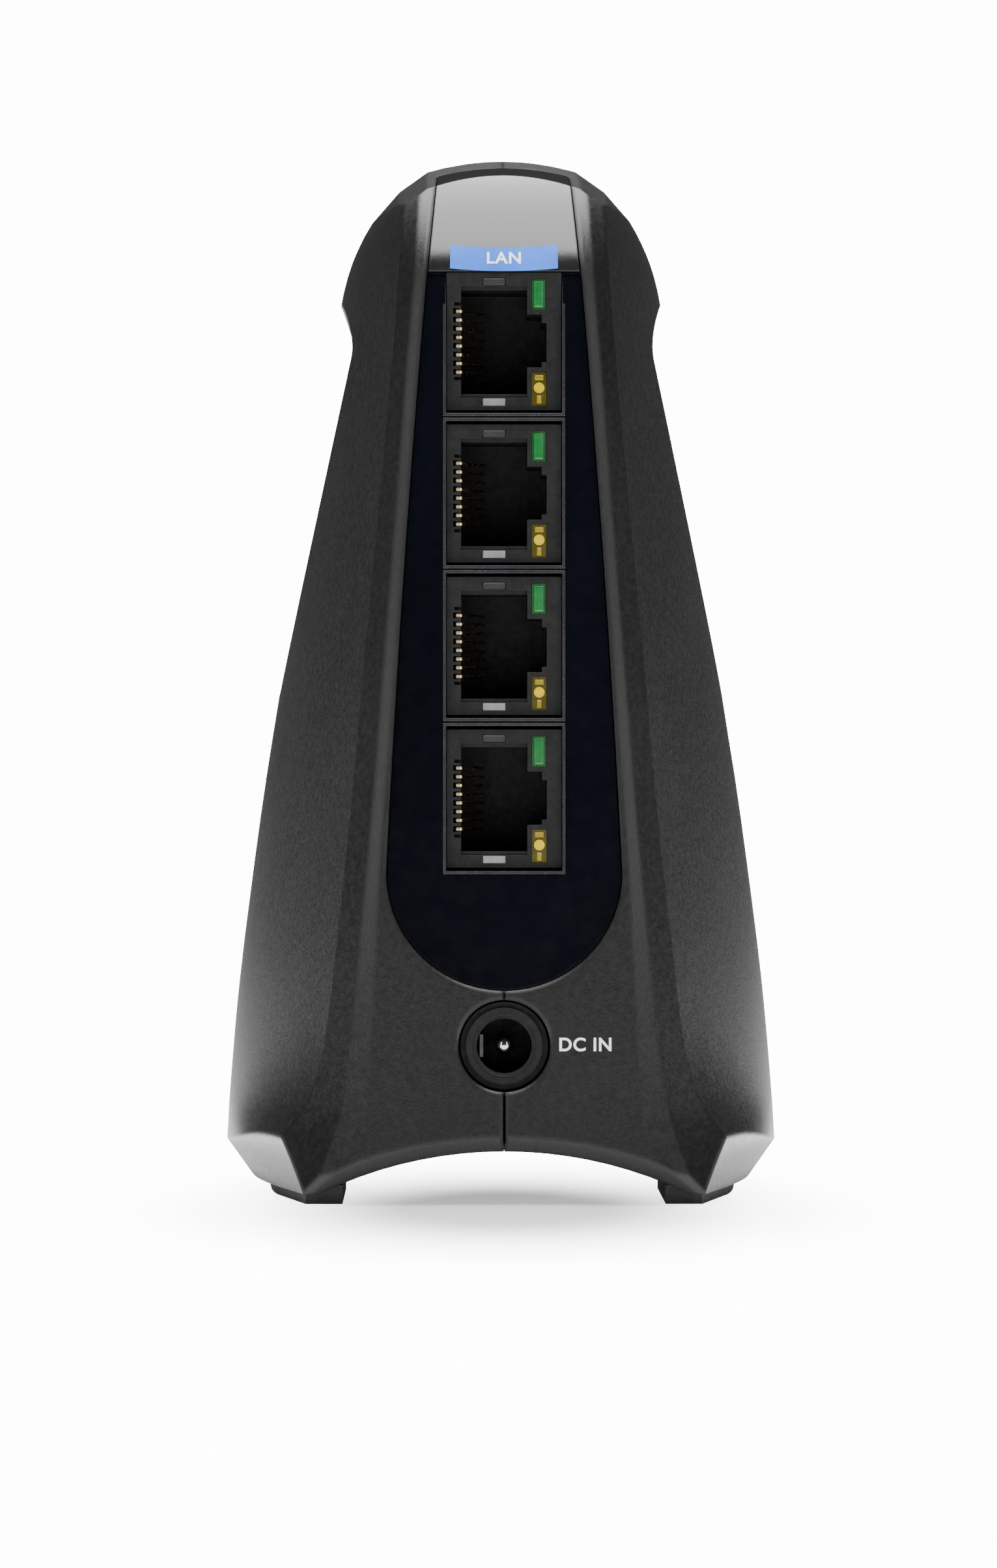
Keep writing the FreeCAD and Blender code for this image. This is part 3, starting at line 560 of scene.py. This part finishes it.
def build_green_windows(material):
    """The brighter, slightly domed middle of each green light."""
    for number, jack in enumerate(JACKS, 1):
        pane = stepped_plate(
            1.1 * MM, 3.0 * MM, thick=0.10 * MM, border=0.2 * MM, step=0.05 * MM,
            edge=0.04 * MM)
        stand_up(pane, jack_point(jack, *GREEN_WINDOW_AT), 0.0)
        finish_piece(pane, "green_window_%d" % number, material)


def build_upper_tabs(material):
    """The shield tab that closes the notch above each socket."""
    for number, jack in enumerate(JACKS, 1):
        tab = stepped_plate(
            2.62 * MM, 0.87 * MM, thick=0.5 * MM, border=0.16 * MM, step=-0.05 * MM,
            edge=0.04 * MM)
        stand_up(tab, jack_point(jack, *UPPER_TAB_AT), 0.0)
        finish_piece(tab, "upper_tab_%d" % number, material)


def build_contact_tips(material):
    """Polished front bends of the eight springs in each socket."""
    for number, jack in enumerate(JACKS, 1):
        low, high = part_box(jack)
        half_height = (high[2] - low[2]) / 2
        tips = []
        for contact in range(CONTACTS):
            bpy.ops.object.select_all(action="DESELECT")
            bpy.ops.mesh.primitive_cylinder_add(
                vertices=TIP_SIDES, radius=TIP_RADIUS, depth=TIP_LENGTH, location=(0, 0, 0))
            tip = bpy.context.active_object
            bevel_piece(tip, TIP_EDGE, 3)
            select_only(tip)
            bpy.ops.object.shade_smooth()
            tip.rotation_euler = (0, math.pi / 2, 0)
            down = half_height + (contact - (CONTACTS - 1) / 2) * CONTACT_PITCH
            tip.location = jack_point(jack, TIP_RIGHT, down, TIP_BEHIND)
            bake_place(tip)
            tips.append(tip)
        finish_piece(join_all(tips), "contact_tips_%d" % number, material)


# ---------------------------------------------------------------- printed words
CAPITAL_SHARE = 0.7      # height of a capital letter, as a share of the font's size
STROKE_SWELL = 0.03      # how much a stroke is thickened, as a share of the capital's height
LETTER_SPACING = 1.08
INK_HALF_DEPTH = 0.02 * MM
LABEL_CAPITAL = 1.45 * MM
LABEL_WORD_DROP = 0.08 * MM    # how far the word lies below the label's middle
LABEL_WORD_PROUD = 0.16 * MM   # how far it stands off the housing's turn
INLET_CAPITAL = 1.5 * MM
INLET_WORD_RIGHT = 9.4 * MM
INLET_WORD_PROUD = 0.005 * MM
INLET_WORD_RISE = 0.1 * MM     # above the inlet's middle


def build_text(words, name, cap_height, place, lean, material):
    """Printed words as a thin raised film."""
    bpy.ops.object.select_all(action="DESELECT")
    bpy.ops.object.text_add(location=(0, 0, 0))
    text = bpy.context.active_object
    text.data.body = words
    text.data.align_x = "CENTER"
    text.data.align_y = "CENTER"
    text.data.size = cap_height / CAPITAL_SHARE
    text.data.offset = STROKE_SWELL * cap_height
    text.data.extrude = INK_HALF_DEPTH
    text.data.space_character = LETTER_SPACING
    bpy.ops.object.convert(target="MESH")
    stand_up(text, place, lean)
    finish_piece(text, name, material)


def build_printing(material):
    """The generic word on the port label and the one beside the inlet."""
    label_z = (LABEL_LOW[2] + LABEL_HIGH[2]) / 2 - LABEL_WORD_DROP
    label_r = TURN_R + LABEL_WORD_PROUD
    label_lean = math.asin((label_z - TURN_Z) / label_r)
    label_y = housing_face_y(TURN_Z) + TURN_R - label_r * math.cos(label_lean)
    label_place = (0, label_y, label_z)
    build_text("LAN", "label_words", LABEL_CAPITAL, label_place, label_lean, material)
    inlet_place = (
        INLET_WORD_RIGHT,
        housing_face_y(DC_CENTRE_Z) - INLET_WORD_PROUD,
        DC_CENTRE_Z + INLET_WORD_RISE,
    )
    inlet_lean = math.atan(FACE_LEAN)
    build_text("DC IN", "inlet_words", INLET_CAPITAL, inlet_place, inlet_lean, material)


# ---------------------------------------------------------------- seam strips and inlet rim
SEAM_SPANS = ((8.4 * MM, 38.4 * MM), (94 * MM, 103 * MM))  # heights of the two strips' ends
STRIP_WIDTH = 3.0 * MM
STRIP_THICK = 0.6 * MM
FRONT_WALL = 2.0 * MM    # thickness of the shells' front wall
FRONT_LEAN = 0.07        # how far the front end runs back for each unit of height
STRIP_CLEAR = 0.05 * MM  # gap between a strip and the wall
INLET_RIM_RADIUS = 3.55 * MM
INLET_BEAD_RADIUS = 0.12 * MM
INLET_BEAD_SQUASH = 0.8


def build_seam_strips(material):
    """Strips inside the front wall that close most of the shells' joint line to light."""
    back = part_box("left_shell")[1][1]
    for number, (low, high) in enumerate(SEAM_SPANS, 1):
        z = (low + high) / 2
        strip = stepped_plate(
            STRIP_WIDTH, high - low, thick=STRIP_THICK, border=0.5 * MM, step=-0.15 * MM,
            edge=0.08 * MM)
        y = back - FRONT_LEAN * z - FRONT_WALL - STRIP_CLEAR
        stand_up(strip, (0, y, z), -math.atan(FRONT_LEAN))
        finish_piece(strip, "seam_strip_%d" % number, material)


def build_inlet_rim(material):
    """A turned bead round the mouth of the inlet's barrel."""
    bpy.ops.object.select_all(action="DESELECT")
    bpy.ops.mesh.primitive_torus_add(
        major_segments=64, minor_segments=12,
        major_radius=INLET_RIM_RADIUS, minor_radius=INLET_BEAD_RADIUS)
    rim = bpy.context.active_object
    rim.scale = (1, 1, INLET_BEAD_SQUASH)
    bake_place(rim)
    select_only(rim)
    bpy.ops.object.shade_smooth()
    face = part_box("dc_jack")[0][1]
    stand_up(rim, (0, face, DC_CENTRE_Z), 0.0)
    finish_piece(rim, "inlet_rim", material)


# ---------------------------------------------------------------- set
# strengths of light as the camera sees it, and as it reaches the unit
BACKDROP_LIGHT = 14.0
FILL_LIGHT = 0.04
FLOOR_GLOW = 13.0
FLOOR_SPILL = 0.06          # share of the floor's glow that reaches the unit

FLOOR_SIZE = 8.0
SHADE_REACH = (0.050, 0.13)  # half width and half depth of the painted soft shadow under the unit
SHADE_CENTRE_Y = -0.07
SHADE_INNER = 0.2            # share of that reach where the shade starts to clear
SHADE_DEPTH = 0.03           # glow left in its middle, as a share of the full glow

# lights: place, target, size (both in metres) and power in watts
OVERHEAD = ((0, -0.02, 0.75), (0, -0.02, 0.0), (0.7, 1.1), 30.0)
# on both sides, given for the right
SIDE_LIGHTS = (
    ("_strip", (0.55, -0.75, 0.30), (0, 0, 0.06), (0.08, 0.7), 1.4),
    ("_low", (0.085, 0.06, 0.001), (0.085, 0.06, 1), (0.09, 0.32), 0.3),
)


def camera_only(tree, elsewhere, seen):
    """One value for what the camera sees directly and another for light that reaches the unit."""
    path = tree.nodes.new("ShaderNodeLightPath")
    pick = tree.nodes.new("ShaderNodeMapRange")
    pick.inputs["To Min"].default_value = elsewhere
    pick.inputs["To Max"].default_value = seen
    tree.links.new(path.outputs["Is Camera Ray"], pick.inputs["Value"])
    return pick.outputs["Result"]


def build_floor():
    """A white, softly lit table top, with a painted shadow: its glow dims in a soft ellipse under
    the unit.
    """
    bpy.ops.object.select_all(action="DESELECT")
    bpy.ops.mesh.primitive_plane_add(size=FLOOR_SIZE, location=(0, 0, 0))
    floor = bpy.context.active_object
    floor.name = "floor"
    material, tree, shader = new_material("pale_floor")
    set_surface(shader, (0.93, 0.93, 0.93), 0.1, IOR=1.5)
    shader.inputs["Emission Color"].default_value = (1, 1, 1, 1)
    place = tree.nodes.new("ShaderNodeTexCoord")
    centred = add_node(tree, "ShaderNodeVectorMath", operation="SUBTRACT")
    centred.inputs[1].default_value = (0, SHADE_CENTRE_Y, 0)
    squash = add_node(tree, "ShaderNodeVectorMath", operation="MULTIPLY")
    squash.inputs[1].default_value = (1 / SHADE_REACH[0], 1 / SHADE_REACH[1], 0)
    radius = add_node(tree, "ShaderNodeVectorMath", operation="LENGTH")
    # painted shadow: the floor's glow dims in an ellipse under the unit
    glow = add_node(tree, "ShaderNodeMapRange", interpolation_type="SMOOTHSTEP")
    glow.inputs["From Min"].default_value = SHADE_INNER
    glow.inputs["From Max"].default_value = 1.0
    glow.inputs["To Min"].default_value = FLOOR_GLOW * SHADE_DEPTH
    glow.inputs["To Max"].default_value = FLOOR_GLOW
    tree.links.new(place.outputs["Object"], centred.inputs[0])
    tree.links.new(centred.outputs["Vector"], squash.inputs[0])
    tree.links.new(squash.outputs["Vector"], radius.inputs[0])
    tree.links.new(radius.outputs["Value"], glow.inputs["Value"])
    seen = camera_only(tree, FLOOR_SPILL, 1.0)
    shown = add_node(tree, "ShaderNodeMath", operation="MULTIPLY")
    tree.links.new(glow.outputs["Result"], shown.inputs[0])
    tree.links.new(seen, shown.inputs[1])
    tree.links.new(shown.outputs["Value"], shader.inputs["Emission Strength"])
    floor.data.materials.append(material)


def add_softbox(name, place, target, size, power):
    data = bpy.data.lights.new(name, "AREA")
    data.shape = "RECTANGLE"
    data.size, data.size_y = size
    data.energy = power
    lamp = bpy.data.objects.new(name, data)
    bpy.context.scene.collection.objects.link(lamp)
    lamp.location = place
    aim = Vector(target) - Vector(place)
    lamp.rotation_euler = aim.to_track_quat("-Z", "Y").to_euler()


def build_world():
    """White behind the unit, almost dark in what its surfaces mirror."""
    world = bpy.data.worlds.new("studio")
    world.use_nodes = True
    bpy.context.scene.world = world
    tree = world.node_tree
    back = tree.nodes["Background"]
    back.inputs["Color"].default_value = (1, 1, 1, 1)
    tree.links.new(camera_only(tree, FILL_LIGHT, BACKDROP_LIGHT), back.inputs["Strength"])


def build_lights():
    """A large soft light overhead, and a tall strip and a low panel on each side."""
    build_world()
    add_softbox("overhead", *OVERHEAD)
    for name, side in (("left", -1), ("right", 1)):
        for ending, place, target, size, power in SIDE_LIGHTS:
            place = (side * place[0], place[1], place[2])
            target = (side * target[0], target[1], target[2])
            add_softbox(name + ending, place, target, size, power)


# ---------------------------------------------------------------- camera
# near level with the lower sockets, almost square on to the port end, a little to the left
CAMERA_DISTANCE = 0.90   # from the port end
CAMERA_HEIGHT = 0.0489
CAMERA_SIDE = -0.0068
AIM_SHARE = 0.9          # how much of the turn to the unit's middle line the camera makes
VIEW_HEIGHT = 0.1817     # height seen at the port end
SENSOR = 36.0
CLIP_START = 0.01


def build_camera():
    data = bpy.data.cameras.new("camera")
    camera = bpy.data.objects.new("camera", data)
    bpy.context.scene.collection.objects.link(camera)
    end_y = CAD_BOX[0][1]
    turn = math.atan2(-CAMERA_SIDE, CAMERA_DISTANCE) * AIM_SHARE
    camera.location = (CAMERA_SIDE, end_y - CAMERA_DISTANCE, CAMERA_HEIGHT)
    camera.rotation_euler = (math.pi / 2, 0, -turn)
    data.sensor_width = SENSOR
    data.lens = SENSOR * CAMERA_DISTANCE / VIEW_HEIGHT
    data.clip_start = CLIP_START
    bpy.context.scene.camera = camera


# ---------------------------------------------------------------- put together
LOOKS = finishes()
dress_nodes(LOOKS)
build_port_rims(plain_finish(
    "rim_gloss", (0.012, 0.012, 0.014), (0.02, 0.02, 0.023), 0.22, 0.3,
    scale=700, bump=0.004))
build_amber_lamps(
    lit_plastic("bulb_amber", (0.25, 0.18, 0.0), (1.0, 0.74, 0.0), 0.85),
    lit_plastic("cup_amber", (0.12, 0.09, 0.0), (0.9, 0.66, 0.0), 0.4),
)
build_green_windows(
    lit_plastic("window_green", (0.004, 0.06, 0.014), (0.010, 0.28, 0.05), 0.4))
build_contact_tips(gold_with_painted_glint())
build_upper_tabs(plain_finish(
    "dark_tin", (0.010, 0.010, 0.010), (0.018, 0.018, 0.018), 0.45, 0.6, scale=1200))
build_printing(printed_white())
build_inlet_rim(LOOKS["jack_plastic"])
build_seam_strips(LOOKS["frame_plastic"])
build_floor()
build_lights()
build_camera()
